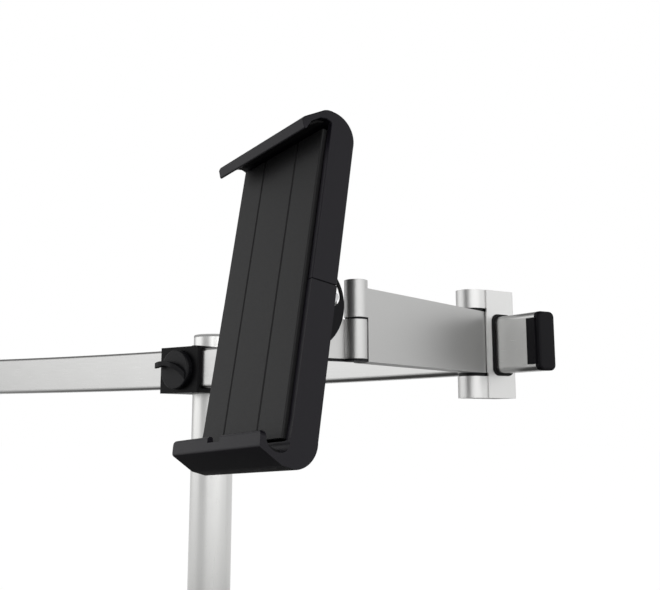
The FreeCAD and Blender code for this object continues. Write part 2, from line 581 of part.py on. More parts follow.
def make_tilt_bracket():
    pivot_y = HOLDER_DEPTH + PIVOT_BEHIND
    x0 = -DISC_PLATE / 4
    flange_y = HOLDER_DEPTH - FLANGE_SUNK - FLANGE_PLATE
    hub_end = flange_y - HUB_LENGTH
    far = 3 * DISC_R
    disc = rod(DISC_R, DISC_PLATE, V(x0, pivot_y, PIVOT_ABOVE), X_AXIS)
    keep = box(-10, 10, flange_y + 0.5, far, -far, far)
    disc = disc.common(keep)
    for side in (-1, 1):
        edge = WINDOW_R - 0.9
        low, high = sorted((side * edge, side * far))
        disc = disc.cut(box(-10, 10, 0, HOLDER_DEPTH + OPEN_GAP, low, high))
    slot = ring(SLOT_R - SLOT_HALF_WIDTH, SLOT_R + SLOT_HALF_WIDTH, 10, V(-5, pivot_y, PIVOT_ABOVE), X_AXIS)
    a0 = math.radians(SLOT_START)
    a1 = math.radians(SLOT_START + SLOT_SWEEP)
    wedge_pts = [V(-5, pivot_y, PIVOT_ABOVE)]
    for a in (a0, (a0 + a1) / 2, a1):
        wedge_pts.append(V(-5, pivot_y + far * math.cos(a), PIVOT_ABOVE + far * math.sin(a)))
    wedge = Part.Face(Part.makePolygon(wedge_pts + [wedge_pts[0]])).extrude(V(10, 0, 0))
    cuts = [slot.common(wedge)]
    for a in (a0, a1):
        at = V(-5, pivot_y + SLOT_R * math.cos(a), PIVOT_ABOVE + SLOT_R * math.sin(a))
        cuts.append(rod(SLOT_HALF_WIDTH, 10, at, X_AXIS))
    cuts.append(rod(TILT_BOLT_R + RUNNING_GAP, 10, V(-5, pivot_y, PIVOT_ABOVE), X_AXIS))
    flange = rod(FLANGE_R, FLANGE_PLATE, V(0, flange_y, 0), Y_AXIS)
    hub = rod(HUB_R, HUB_LENGTH, V(0, hub_end, 0), Y_AXIS)
    bracket = flange.fuse([disc.cut(cuts), hub]).removeSplitter()
    screw_way = rod(2.1, 8.0, V(0, flange_y - 7.0, 0), Y_AXIS)
    PARTS["tilt_bracket"] = in_tilt(bracket.cut(screw_way))

    retainer = ring(2.1, 12.0, 1.5, V(0, hub_end - 1.6, 0), Y_AXIS)
    wave = ring(HUB_R + SCREW_GAP, 11.0, 0.6, V(0, hub_end + 0.05, 0), Y_AXIS)
    PARTS["rotation_washers"] = in_tilt(Part.makeCompound([retainer, wave]))
    screw = rod(2.0, 8.0, V(0, hub_end - 2.5, 0), Y_AXIS)
    head = rod(4.2, 2.0, V(0, hub_end - 1.65 - 2.0, 0), Y_AXIS)
    PARTS["rotation_screw"] = in_tilt(head.fuse(screw))


# Holder shells, drawn in the plane X = 0 with Y to the back and Z up

def p(y, z):
    return V(0, y, z)


def upper_outline():
    # whole side outline of the upper half, hook included
    d = HOLDER_DEPTH
    seam = SEAM_GAP / 2
    top = HOLDER_TOP
    c = top - 15.1
    pts = [p(0, seam), p(d, seam), p(d, c), p(10.6, c + 11.0), p(0.3, top)]
    pts += [p(-2.6, top - 0.1), p(-5.2, top - 1.0), p(-16.4, top - 8.9), p(-17.0, top - 11.0)]
    pts += [p(-15.4, top - 15.2), p(-14.3, top - 15.2), p(-11.8, top - 9.9), p(-7.0, top - 6.2)]
    pts += [p(-3.4, top - 5.4), p(0, top - 6.2)]
    return wire_face(pts, arcs=(3, 5))


def upper_core():
    # space behind the pad inside the upper half
    d = HOLDER_DEPTH - HOLDER_BACK_WALL
    top = HOLDER_TOP
    pts = [p(-1, -1), p(d, -1), p(d, top - 17), p(7.2, top - 8.6), p(0, top - 6.2), p(-1, top - 6.2)]
    return wire_face(pts, arcs=(3,))


def lower_outline():
    d = HOLDER_DEPTH
    seam = -SEAM_GAP / 2
    b = HOLDER_BOTTOM
    pts = [p(0, seam), p(0, b + 22.0), p(-0.5, b + 11.6), p(-1.6, b + 7.4), p(-4.8, b + 6.1)]
    pts += [p(-9.8, b + 7.2), p(-12.6, b + 10.6), p(-13.0, b + 13.4), p(-14.6, b + LIP_HEIGHT)]
    pts += [p(-16.0, b + 12.6), p(-15.7, b + 8.2), p(-15.2, b + 6.9), p(-14.2, b + 6.3)]
    pts += [p(-3.0, b + 0.8), p(4.9, b), p(11.2, b + 3.6), p(d, b + 14.0), p(d, seam)]
    return wire_face(pts, arcs=(3, 5, 8, 11, 15))


def lower_core():
    d = HOLDER_DEPTH - HOLDER_BACK_WALL
    b = HOLDER_BOTTOM
    pts = [p(-3, 1), p(-3, b + 12.4), p(1.6, b + 12.0), p(1.8, b + 9.0)]
    pts += [p(4.5, b + 6.0), p(9.6, b + 8.0), p(d, b + 15), p(d, 1)]
    return wire_face(pts, arcs=(5,))


def across(face, half):
    f = face.copy()
    f.translate(V(-half, 0, 0))
    return f.extrude(V(2 * half, 0, 0))


def lip_corner(side, top):
    # what the rounding takes off the lip's upper corner
    edge = side * HOLDER_HALF
    start = edge - side * LIP_CORNER_R
    block = box(min(edge, start), max(edge, start), -20, -11, top - LIP_CORNER_R, top)
    return block.cut(rod(LIP_CORNER_R, 12, V(start, -21, top - LIP_CORNER_R), Y_AXIS))


def make_shells():
    inner = HOLDER_HALF - HOLDER_WALL
    d = HOLDER_DEPTH
    window = rod(WINDOW_R, 10, V(0, d - 5, 0), Y_AXIS)
    upper = across(upper_outline(), HOLDER_HALF).cut(across(upper_core(), inner))
    PARTS["holder_upper_shell"] = in_holder(largest(upper.cut(window)))

    lower = across(lower_outline(), HOLDER_HALF).cut(across(lower_core(), inner))
    lip_top = HOLDER_BOTTOM + LIP_HEIGHT
    notch = box(-NOTCH_WIDTH / 2, NOTCH_WIDTH / 2, -20, -11, lip_top - NOTCH_DEPTH, lip_top + 1)
    lower = lower.cut([lip_corner(-1, lip_top), lip_corner(1, lip_top)])
    posts = []
    holes = []
    screws = []
    web_y = PAD_PLATE - PAD_PROUD + 0.1 + RAIL_WALL
    for x in (-HOLDER_SCREW_X, HOLDER_SCREW_X):
        for z in HOLDER_SCREW_LEVELS:
            posts.append(rod(4.0, d - 1 - web_y - 0.05, V(x, web_y + 0.05, z), Y_AXIS))
            holes.append(rod(HOLDER_SCREW_R + SCREW_GAP, 20, V(x, web_y - 5, z), Y_AXIS))
            holes.append(rod(3.1, 10, V(x, d - 2.0, z), Y_AXIS))
            shank = rod(HOLDER_SCREW_R, d - 1.8 - 0.8, V(x, 0.8, z), Y_AXIS)
            head = rod(2.9, 1.7, V(x, d - 2.0, z), Y_AXIS)
            socket = hexagon(1.3, 2.0, V(x, d - 1.4, z), Y_AXIS)
            screws.append(head.fuse(shank).cut(socket))
    lower = lower.cut([window, notch]).fuse(posts).cut(holes)
    PARTS["holder_lower_shell"] = in_holder(largest(lower))
    PARTS["holder_screws"] = in_holder(Part.makeCompound(screws))


def make_pad_and_rail():
    d = HOLDER_DEPTH
    top = HOLDER_TOP - 8.6
    bottom = HOLDER_BOTTOM + 13.0
    back = PAD_PLATE - PAD_PROUD
    pad = box(-PAD_HALF, PAD_HALF, -PAD_PROUD, back, bottom, top)
    fronts = [e for e in pad.Edges if e.Length > 100 and e.CenterOfMass.y < 0]
    pad = pad.makeFillet(0.8, fronts)
    for side in (-1, 1):
        x = side * (PAD_HALF - GROOVE_INSET)
        groove = box(x - GROOVE_WIDTH / 2, x + GROOVE_WIDTH / 2, -PAD_PROUD - 1, -PAD_PROUD + GROOVE_DEPTH,
                     bottom - 1, top + 1)
        pad = pad.cut(groove)
    PARTS["front_pad"] = in_holder(pad)

    y0 = back + 0.1
    y1 = y0 + RAIL_WALL
    rail_back = d - HOLDER_BACK_WALL - 0.4
    low = HOLDER_BOTTOM + 24
    high = HOLDER_TOP - 22
    rail = box(-RAIL_HALF, RAIL_HALF, y0, y1, bottom, top - 1)
    for side in (-1, 1):
        x0 = min(side * RAIL_HALF, side * (RAIL_HALF - RAIL_WALL))
        rail = rail.fuse(box(x0, x0 + RAIL_WALL, y0, rail_back, low, high))
    seat_back = rail_back - 0.3
    rail = rail.fuse(rod(26.0, seat_back - y0, V(0, y0, 0), Y_AXIS)).removeSplitter()
    floor = d - FLANGE_SUNK - FLANGE_PLATE - HUB_LENGTH + 0.8
    rail = rail.cut(rod(HUB_R + RUNNING_GAP, 20, V(0, 0, 0), Y_AXIS))
    rail = rail.cut(rod(14.0, floor - y0 + 5, V(0, y0 - 5, 0), Y_AXIS))
    for x in (-HOLDER_SCREW_X, HOLDER_SCREW_X):
        for z in HOLDER_SCREW_LEVELS:
            rail = rail.cut(rod(HOLDER_SCREW_R + SCREW_GAP, 10, V(x, y0 - 5, z), Y_AXIS))
    PARTS["holder_slide_rail"] = in_holder(largest(rail))

    shoes = []
    for side in (-1, 1):
        for z in SHOE_LEVELS:
            x0 = min(side * (RAIL_HALF + 0.02), side * (RAIL_HALF + 0.02 + SHOE_THICK))
            shoes.append(box(x0, x0 + SHOE_THICK, y1 + 1, rail_back - 1, z - SHOE_HALF, z + SHOE_HALF))
    PARTS["slide_brake_shoes"] = in_holder(Part.makeCompound(shoes))


def make_hook_liners():
    b = HOLDER_BOTTOM
    t = HOLDER_TOP
    half = HOLDER_HALF - 3
    low_pts = [p(-3.2, b + 6.9), p(-4.8, b + 6.3), p(-9.5, b + 7.5), p(-9.2, b + 8.5), p(-4.8, b + 7.3),
               p(-3.2, b + 7.9)]
    low = across(wire_face(low_pts), half)
    PARTS["lower_hook_liner"] = in_holder(low)
    top_pts = [p(-3.4, t - 5.6), p(-7.1, t - 6.4), p(-11.4, t - 9.8), p(-10.8, t - 10.6), p(-6.6, t - 7.4),
               p(-3.4, t - 6.6)]
    up = across(wire_face(top_pts), half)
    PARTS["upper_hook_liner"] = in_holder(up)


make_pole()
make_crossbar()
make_end_caps()
make_clamp()
make_bracket()
make_arm()
make_knuckle()
make_tilt_bracket()
make_shells()
make_pad_and_rail()
make_hook_liners()

for name, shape in PARTS.items():
    shape.exportStep("parts/" + name + ".step")
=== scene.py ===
import bpy
import bmesh
import math
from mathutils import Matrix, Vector


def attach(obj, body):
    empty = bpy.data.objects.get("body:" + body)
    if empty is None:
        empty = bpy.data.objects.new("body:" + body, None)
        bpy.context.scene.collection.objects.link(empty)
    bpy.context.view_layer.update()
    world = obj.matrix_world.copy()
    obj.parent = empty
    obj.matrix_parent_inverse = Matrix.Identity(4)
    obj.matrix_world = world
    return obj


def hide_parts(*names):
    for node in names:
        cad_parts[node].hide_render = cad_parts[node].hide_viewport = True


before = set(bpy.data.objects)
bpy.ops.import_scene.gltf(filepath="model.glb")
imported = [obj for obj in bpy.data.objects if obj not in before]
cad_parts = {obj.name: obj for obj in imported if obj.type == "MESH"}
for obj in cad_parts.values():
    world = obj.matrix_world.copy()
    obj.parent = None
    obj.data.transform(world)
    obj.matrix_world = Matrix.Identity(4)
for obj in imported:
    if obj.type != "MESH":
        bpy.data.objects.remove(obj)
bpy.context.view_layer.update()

# Pole: a round 40 mm tube of drawn and anodised aluminium, its satin skin drawn
# along its length. A grey moulded cap closes its top and a black plug its foot.
MM = 0.001


def linear(hex_colour):
    # an sRGB hex colour as the linear one that the shaders take
    parts = [int(hex_colour[i:i + 2], 16) / 255.0 for i in (0, 2, 4)]
    return tuple(c / 12.92 if c <= 0.04045 else ((c + 0.055) / 1.055) ** 2.4
                 for c in parts) + (1.0,)


def add_node(tree, kind, inputs=None, **settings):
    # Inputs go by name, or by number where two share a name: a Mix node's numbers
    # A and B are 2 and 3, its colours A and B are 6 and 7.
    made = tree.nodes.new(kind)
    for name, value in settings.items():
        setattr(made, name, value)
    for name, value in (inputs or {}).items():
        if isinstance(value, bpy.types.NodeSocket):
            tree.links.new(value, made.inputs[name])
        else:
            made.inputs[name].default_value = value
    return made


def new_material(name):
    made = bpy.data.materials.new(name)
    made.use_nodes = True
    made.node_tree.nodes.clear()
    return made


def dress(node_name, finish):
    # the solid keeps its own mesh and takes this finish
    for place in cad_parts[node_name].material_slots:
        place.material = finish


def drawn_aluminium(name, colours, roughness, line_mm, stretch, relief, metal=1.0,
                    pattern_on=""):
    # Anodised aluminium, drawn or extruded: a soft even metal sheen with hair-fine
    # lines in the drawing direction, drawn here as coarse as the render can show.
    # stretch shortens the pattern's scale along them, and pattern_on names the mesh
    # attribute that they follow on a bent piece.
    cloud_mm = 111.0
    line_rise = 0.02 * MM
    made = new_material(name)
    tree = made.node_tree
    place = add_node(tree, "ShaderNodeTexCoord").outputs["Object"]
    along = place
    if pattern_on:
        along = add_node(tree, "ShaderNodeAttribute", attribute_name=pattern_on).outputs["Vector"]
    scaled = add_node(tree, "ShaderNodeMapping", {"Vector": along, "Scale": stretch})
    lines = add_node(tree, "ShaderNodeTexNoise", {
        "Vector": scaled.outputs[0], "Scale": 1000.0 / line_mm, "Detail": 3.0, "Roughness": 0.55})
    cloud = add_node(tree, "ShaderNodeTexNoise", {
        "Vector": place, "Scale": 1000.0 / cloud_mm, "Detail": 2.0})
    tone = add_node(tree, "ShaderNodeMix", {
        "Factor": cloud.outputs["Fac"], 6: linear(colours[0]), 7: linear(colours[1])},
        data_type="RGBA")
    rough = add_node(tree, "ShaderNodeMapRange", {
        "Value": lines.outputs["Fac"], "From Min": 0.3, "From Max": 0.7,
        "To Min": roughness - 0.03, "To Max": roughness + 0.03})
    bump = add_node(tree, "ShaderNodeBump", {
        "Height": lines.outputs["Fac"], "Strength": relief, "Distance": line_rise})
    skin = add_node(tree, "ShaderNodeBsdfPrincipled", {
        "Base Color": tone.outputs[2], "Metallic": metal, "Roughness": rough.outputs[0],
        "Normal": bump.outputs[0]})
    add_node(tree, "ShaderNodeOutputMaterial", {"Surface": skin.outputs[0]})
    return made


def moulded_plastic(name, colours, roughness, grit_mm, relief, gloss=0.2):
    # Injection-moulded ABS, nylon or rubber with a spark-eroded mould grain: dull,
    # even, a little lighter where the grain catches the light. The grain is drawn as
    # coarse as the render can show.
    cloud_mm = 71.5
    grain_rise = 0.1 * MM
    made = new_material(name)
    tree = made.node_tree
    place = add_node(tree, "ShaderNodeTexCoord").outputs["Object"]
    grain = add_node(tree, "ShaderNodeTexNoise", {
        "Vector": place, "Scale": 1000.0 / grit_mm, "Detail": 2.0, "Roughness": 0.5})
    cloud = add_node(tree, "ShaderNodeTexNoise", {
        "Vector": place, "Scale": 1000.0 / cloud_mm, "Detail": 3.0})
    speckle = add_node(tree, "ShaderNodeMath", {
        0: cloud.outputs["Fac"], 1: grain.outputs["Fac"]}, operation="MULTIPLY")
    tone = add_node(tree, "ShaderNodeMix", {
        "Factor": speckle.outputs[0], 6: linear(colours[0]), 7: linear(colours[1])},
        data_type="RGBA")
    rough = add_node(tree, "ShaderNodeMapRange", {
        "Value": grain.outputs["Fac"], "From Min": 0.3, "From Max": 0.7,
        "To Min": roughness - 0.06, "To Max": roughness + 0.06})
    bump = add_node(tree, "ShaderNodeBump", {
        "Height": grain.outputs["Fac"], "Strength": relief, "Distance": grain_rise})
    skin = add_node(tree, "ShaderNodeBsdfPrincipled", {
        "Base Color": tone.outputs[2], "Roughness": rough.outputs[0],
        "Specular IOR Level": gloss, "Normal": bump.outputs[0]})
    add_node(tree, "ShaderNodeOutputMaterial", {"Surface": skin.outputs[0]})
    return made


pole_skin = drawn_aluminium(
    "drawn_aluminium_pole", ("DEDEDC", "D6D6D5"), roughness=0.3, line_mm=0.5,
    stretch=(1.0, 1.0, 0.02), relief=0.08)
dress("pole", pole_skin)
cap_grey = moulded_plastic(
    "moulded_cap_grey", ("C9C9C8", "BEBEBE"), roughness=0.5, grit_mm=0.5, relief=0.2)
dress("pole_top_cap", cap_grey)
plug_black = moulded_plastic(
    "moulded_plug_black", ("17171A", "1E1E21"), roughness=0.55, grit_mm=0.5, relief=0.25)
dress("pole_foot_plug", plug_black)


# Pole clamp: a black powder-coated die-cast yoke that holds the crossbar, and the
# collar behind it round the pole. A nylon sleeve inside slides on the pole.
def softened(node_name, piece_name, body, edge_mm, finish, turns=2):
    # A copy of the solid whose hard edges are rounded as its mould, die or file leaves
    # them. It stands for the solid and rides on the same body.
    welded_within = 0.002 * MM
    flat_within = math.radians(0.5)
    sharp_from = math.radians(30.0)
    rounded_from = math.radians(38.0)
    shape = bmesh.new()
    shape.from_mesh(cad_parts[node_name].data)
    bmesh.ops.remove_doubles(shape, verts=shape.verts, dist=welded_within)
    bmesh.ops.dissolve_limit(shape, angle_limit=flat_within, verts=shape.verts, edges=shape.edges)
    for face in shape.faces:
        face.smooth = True
    for edge in shape.edges:
        edge.smooth = len(edge.link_faces) == 2 and edge.calc_face_angle() < sharp_from
    rough_mesh = bpy.data.meshes.new(piece_name)
    shape.to_mesh(rough_mesh)
    shape.free()
    piece = bpy.data.objects.new(piece_name, rough_mesh)
    bpy.context.scene.collection.objects.link(piece)
    rounding = piece.modifiers.new("edge", "BEVEL")
    rounding.width = edge_mm / 1000.0
    rounding.segments = turns
    rounding.limit_method = "ANGLE"
    rounding.angle_limit = rounded_from
    rounding.use_clamp_overlap = True
    rounding.miter_outer = "MITER_ARC"
    settled(piece)
    piece.data.materials.clear()
    piece.data.materials.append(finish)
    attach(piece, body)
    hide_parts(node_name)


def settled(piece):
    # Turns the modifiers' result into the piece's own plain mesh. The large faces rule
    # the shading, so that flats stay flat up to their rounded edges.
    weighing = piece.modifiers.new("shading", "WEIGHTED_NORMAL")
    weighing.keep_sharp = True
    shaped = piece.evaluated_get(bpy.context.evaluated_depsgraph_get())
    plain = bpy.data.meshes.new_from_object(shaped)
    piece.modifiers.clear()
    piece.data = plain


def powder_coat(name, colours, roughness, orange_peel_mm):
    # Powder coat: a thin plastic skin over the casting, slightly rippled like
    # orange peel, which breaks the highlights up.
    cloud_mm = 50.0
    ripple_rise = 0.1 * MM
    made = new_material(name)
    tree = made.node_tree
    place = add_node(tree, "ShaderNodeTexCoord").outputs["Object"]
    ripple = add_node(tree, "ShaderNodeTexNoise", {
        "Vector": place, "Scale": 1000.0 / orange_peel_mm, "Detail": 1.5})
    cloud = add_node(tree, "ShaderNodeTexNoise", {
        "Vector": place, "Scale": 1000.0 / cloud_mm, "Detail": 2.0})
    tone = add_node(tree, "ShaderNodeMix", {
        "Factor": cloud.outputs["Fac"], 6: linear(colours[0]), 7: linear(colours[1])},
        data_type="RGBA")
    bump = add_node(tree, "ShaderNodeBump", {
        "Height": ripple.outputs["Fac"], "Strength": 0.3, "Distance": ripple_rise})
    skin = add_node(tree, "ShaderNodeBsdfPrincipled", {
        "Base Color": tone.outputs[2], "Roughness": roughness, "Specular IOR Level": 0.1,
        "Normal": bump.outputs[0]})
    add_node(tree, "ShaderNodeOutputMaterial", {"Surface": skin.outputs[0]})
    return made


clamp_coat = powder_coat(
    "powder_coat_black", ("08080A", "0C0C0E"), roughness=0.42, orange_peel_mm=0.9)
softened("clamp_yoke", "clamp_casting", "clamp_body", 0.6, clamp_coat)
softened("clamp_collar", "clamp_collar_casting", "clamp_body", 0.4, clamp_coat)
sleeve_nylon = moulded_plastic(
    "moulded_nylon_black", ("161618", "1E1E20"), roughness=0.5, grit_mm=0.6, relief=0.2)
dress("clamp_liner", sleeve_nylon)
dress("clamp_pressure_pad", sleeve_nylon)


# Clamp knob: a round black moulded knob with one bent wing for the fingers. It
# turns a steel screw that presses the pad against the pole.
knob_plastic = moulded_plastic(
    "moulded_knob_black", ("101013", "161619"), roughness=0.46, grit_mm=0.5, relief=0.3)
softened("clamp_knob", "knob_moulding", "knob_body", 0.5, knob_plastic)


def turned_steel(name, colours, roughness):
    # Zinc-plated or blackened steel: turned metal with a thin, finely clouded plating
    # that makes its sheen slightly uneven.
    cloud_mm = 2.86
    made = new_material(name)
    tree = made.node_tree
    place = add_node(tree, "ShaderNodeTexCoord").outputs["Object"]
    cloud = add_node(tree, "ShaderNodeTexNoise", {
        "Vector": place, "Scale": 1000.0 / cloud_mm, "Detail": 3.0})
    tone = add_node(tree, "ShaderNodeMix", {
        "Factor": cloud.outputs["Fac"], 6: linear(colours[0]), 7: linear(colours[1])},
        data_type="RGBA")
    rough = add_node(tree, "ShaderNodeMapRange", {
        "Value": cloud.outputs["Fac"], "To Min": roughness - 0.06, "To Max": roughness + 0.06})
    skin = add_node(tree, "ShaderNodeBsdfPrincipled", {
        "Base Color": tone.outputs[2], "Metallic": 1.0, "Roughness": rough.outputs[0]})
    add_node(tree, "ShaderNodeOutputMaterial", {"Surface": skin.outputs[0]})
    return made


zinc = turned_steel("zinc_plated_steel", ("B4B4B4", "9C9DA0"), roughness=0.3)
black_steel = turned_steel("blackened_steel", ("2E2E31", "222224"), roughness=0.4)
dress("clamp_bolt", zinc)
dress("clamp_screws", black_steel)


# Crossbar: a flat oval tube of extruded aluminium, rolled to a wide arc and satin
# anodised. Its lines run along the bar. Black moulded caps plug its two ends.
bar_skin = drawn_aluminium(
    "extruded_aluminium_bar", ("C8C8C7", "BFBFBE"), roughness=0.3, line_mm=0.5,
    stretch=(0.02, 1.0, 1.0), relief=0.05, pattern_on="along_bar")
ARC_POINTS = 97
CORNER_POINTS = 5
HOLE_SIDES = 32
BAR_SIZES = (
    ("Front radius", 1.14805),
    ("Pole axis behind front", 0.04115),
    ("Middle height", 0.3655),
    ("Half angle", math.radians(20.22)),
    ("Depth", 0.014),
    ("Height", 0.037),
    ("Wall", 0.002),
    ("Edge radius", 0.0036),
    ("Bolt hole radius", 0.0044),
    ("Bolt hole drop", 0.001),
)
bar_tree = bpy.data.node_groups.new("rolled_bar", "GeometryNodeTree")
bar_tree.interface.new_socket(name="Geometry", in_out="OUTPUT", socket_type="NodeSocketGeometry")
bar_socket = {}
for label, size in BAR_SIZES:
    bar_socket[label] = bar_tree.interface.new_socket(
        name=label, in_out="INPUT", socket_type="NodeSocketFloat")
given = add_node(bar_tree, "NodeGroupInput")
half_depth = add_node(bar_tree, "ShaderNodeMath", {
    0: given.outputs["Depth"], 1: 0.5}, operation="MULTIPLY")
arc_radius = add_node(bar_tree, "ShaderNodeMath", {
    0: given.outputs["Front radius"], 1: half_depth.outputs[0]}, operation="ADD")


def rolled_tube(inset, beyond):
    # One flat oval section swept round the bar's arc, inset from the outer skin and
    # running on past both ends by an angle.
    half = add_node(bar_tree, "ShaderNodeMath", {
        0: given.outputs["Half angle"], 1: beyond}, operation="ADD")
    start = add_node(bar_tree, "ShaderNodeMath", {
        0: math.pi / 2, 1: half.outputs[0]}, operation="SUBTRACT")
    sweep = add_node(bar_tree, "ShaderNodeMath", {
        0: half.outputs[0], 1: 2.0}, operation="MULTIPLY")
    arc = add_node(bar_tree, "GeometryNodeCurveArc", {
        "Resolution": ARC_POINTS, "Radius": arc_radius.outputs[0],
        "Start Angle": start.outputs[0], "Sweep Angle": sweep.outputs[0]})
    twice = add_node(bar_tree, "ShaderNodeMath", {0: inset, 1: 2.0}, operation="MULTIPLY")
    depth = add_node(bar_tree, "ShaderNodeMath", {
        0: given.outputs["Depth"], 1: twice.outputs[0]}, operation="SUBTRACT")
    height = add_node(bar_tree, "ShaderNodeMath", {
        0: given.outputs["Height"], 1: twice.outputs[0]}, operation="SUBTRACT")
    corner = add_node(bar_tree, "ShaderNodeMath", {
        0: given.outputs["Edge radius"], 1: inset}, operation="SUBTRACT")
    outline = add_node(bar_tree, "GeometryNodeCurvePrimitiveQuadrilateral", {
        "Width": depth.outputs[0], "Height": height.outputs[0]})
    rounded = add_node(bar_tree, "GeometryNodeFilletCurve", {
        "Curve": outline.outputs[0], "Count": CORNER_POINTS, "Radius": corner.outputs[0]},
        mode="POLY")
    swept = add_node(bar_tree, "GeometryNodeCurveToMesh", {
        "Curve": arc.outputs[0], "Profile Curve": rounded.outputs[0], "Fill Caps": True})
    return swept.outputs[0]


outer_skin = rolled_tube(0.0, 0.0)
inner_space = rolled_tube(given.outputs["Wall"], math.radians(0.6))
drill_length = add_node(bar_tree, "ShaderNodeMath", {
    0: given.outputs["Depth"], 1: 2.0}, operation="MULTIPLY")
bolt_drill = add_node(bar_tree, "GeometryNodeMeshCylinder", {
    "Vertices": HOLE_SIDES, "Radius": given.outputs["Bolt hole radius"],
    "Depth": drill_length.outputs[0]})
bolt_height = add_node(bar_tree, "ShaderNodeMath", {
    0: 0.0, 1: given.outputs["Bolt hole drop"]}, operation="SUBTRACT")
bolt_at = add_node(bar_tree, "ShaderNodeCombineXYZ", {
    1: arc_radius.outputs[0], 2: bolt_height.outputs[0]})
bolt_place = add_node(bar_tree, "GeometryNodeTransform", {
    "Geometry": bolt_drill.outputs["Mesh"], "Rotation": (math.pi / 2, 0.0, 0.0),
    "Translation": bolt_at.outputs[0]})
hollow = add_node(bar_tree, "GeometryNodeMeshBoolean", {"Mesh 1": outer_skin},
                  operation="DIFFERENCE", solver="EXACT")
bar_tree.links.new(inner_space, hollow.inputs["Mesh 2"])
bar_tree.links.new(bolt_place.outputs[0], hollow.inputs["Mesh 2"])

# Each point told by its way round the arc, its distance from the arc's centre and
# its height, for lines that follow the bend.
spot = add_node(bar_tree, "ShaderNodeSeparateXYZ", {
    0: add_node(bar_tree, "GeometryNodeInputPosition").outputs[0]})
turn = add_node(bar_tree, "ShaderNodeMath", {
    0: spot.outputs[0], 1: spot.outputs[1]}, operation="ARCTAN2")
round_arc = add_node(bar_tree, "ShaderNodeMath", {
    0: turn.outputs[0], 1: given.outputs["Front radius"]}, operation="MULTIPLY")
flat_way = add_node(bar_tree, "ShaderNodeCombineXYZ", {0: spot.outputs[0], 1: spot.outputs[1]})
from_centre = add_node(bar_tree, "ShaderNodeVectorMath", {0: flat_way.outputs[0]},
                       operation="LENGTH")
run = add_node(bar_tree, "ShaderNodeCombineXYZ", {
    0: round_arc.outputs[0], 1: from_centre.outputs["Value"], 2: spot.outputs[2]})
bar_marked = add_node(bar_tree, "GeometryNodeStoreNamedAttribute", {
    "Geometry": hollow.outputs[0], "Name": "along_bar", "Value": run.outputs[0]},
    data_type="FLOAT_VECTOR", domain="POINT")

# The arc's centre lies in front of the pole, at the bar's middle height.
pole_to_centre = add_node(bar_tree, "ShaderNodeMath", {
    0: given.outputs["Front radius"], 1: given.outputs["Pole axis behind front"]},
    operation="ADD")
centre_y = add_node(bar_tree, "ShaderNodeMath", {
    0: 0.0, 1: pole_to_centre.outputs[0]}, operation="SUBTRACT")
centre = add_node(bar_tree, "ShaderNodeCombineXYZ", {
    1: centre_y.outputs[0], 2: given.outputs["Middle height"]})
bar_place = add_node(bar_tree, "GeometryNodeTransform", {
    "Geometry": bar_marked.outputs[0], "Translation": centre.outputs[0]})
bar_smooth = add_node(bar_tree, "GeometryNodeSetShadeSmooth", {
    "Geometry": bar_place.outputs[0]}, domain="FACE")
sharp_edge = add_node(bar_tree, "ShaderNodeMath", {
    0: add_node(bar_tree, "GeometryNodeInputMeshEdgeAngle").outputs[0], 1: math.radians(30.0)},
    operation="GREATER_THAN")
bar_edged = add_node(bar_tree, "GeometryNodeSetShadeSmooth", {
    "Geometry": bar_smooth.outputs[0], "Selection": sharp_edge.outputs[0],
    "Shade Smooth": False}, domain="EDGE")
bar_real = add_node(bar_tree, "GeometryNodeRealizeInstances", {
    "Geometry": bar_edged.outputs[0]})
bar_dressed = add_node(bar_tree, "GeometryNodeSetMaterial", {
    "Geometry": bar_real.outputs[0], "Material": bar_skin})
add_node(bar_tree, "NodeGroupOutput", {"Geometry": bar_dressed.outputs[0]})
bar = bpy.data.objects.new("rolled_crossbar", bpy.data.meshes.new("rolled_crossbar"))
bpy.context.scene.collection.objects.link(bar)
making = bar.modifiers.new("rolled_bar", "NODES")
making.node_group = bar_tree
for label, size in BAR_SIZES:
    making[bar_socket[label].identifier] = size
settled(bar)
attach(bar, "clamp_body")
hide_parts("crossbar")
cap_black = moulded_plastic(
    "moulded_end_cap_black", ("0E0D11", "131217"), roughness=0.5, grit_mm=0.5, relief=0.3,
    gloss=0.12)
for side in ("right", "left"):
    softened("end_cap_" + side, "end_cap_" + side + "_moulding", "clamp_body",
             0.5, cap_black)


# Sliding bracket: a silver cast aluminium block with two hinge eyes, bushed in
# black where the crossbar passes through. A grub screw under it holds its place.
cast_skin = drawn_aluminium(
    "satin_cast_aluminium", ("DEDEDD", "D6D6D5"), roughness=0.4, line_mm=0.7,
    stretch=(1.0, 1.0, 1.0), relief=0.08, metal=0.8)
softened("slider_bracket", "bracket_casting", "bracket_body", 0.4, cast_skin)
bush_rubber = moulded_plastic(
    "moulded_bush_rubber", ("101011", "161617"), roughness=0.6, grit_mm=0.7, relief=0.3)
dress("bracket_bushes", bush_rubber)
dress("bracket_washers", sleeve_nylon)
dress("bracket_pin", zinc)
dress("bracket_lock_screw", black_steel)


# Arm: one silver link, a tall flat web between a thick barrel at the bracket and a
# slim one at the knuckle, satin anodised after machining.
arm_skin = drawn_aluminium(
    "satin_arm_aluminium", ("CFCFCE", "C7C7C6"), roughness=0.42, line_mm=0.5,
    stretch=(1.0, 0.3, 1.0), relief=0.08, metal=0.8)
softened("arm_link", "arm_casting", "arm_body", 0.35, arm_skin)


# Knuckle: the silver lower half of the slim hinge with the ear that carries the
# tilt joint, a dark washer above it and a thin black cover under it.
softened("knuckle", "knuckle_casting", "knuckle_body", 0.35, arm_skin)
dress("knuckle_pin", zinc)
dress("knuckle_washer", sleeve_nylon)
dress("knuckle_bottom_cover", plug_black)


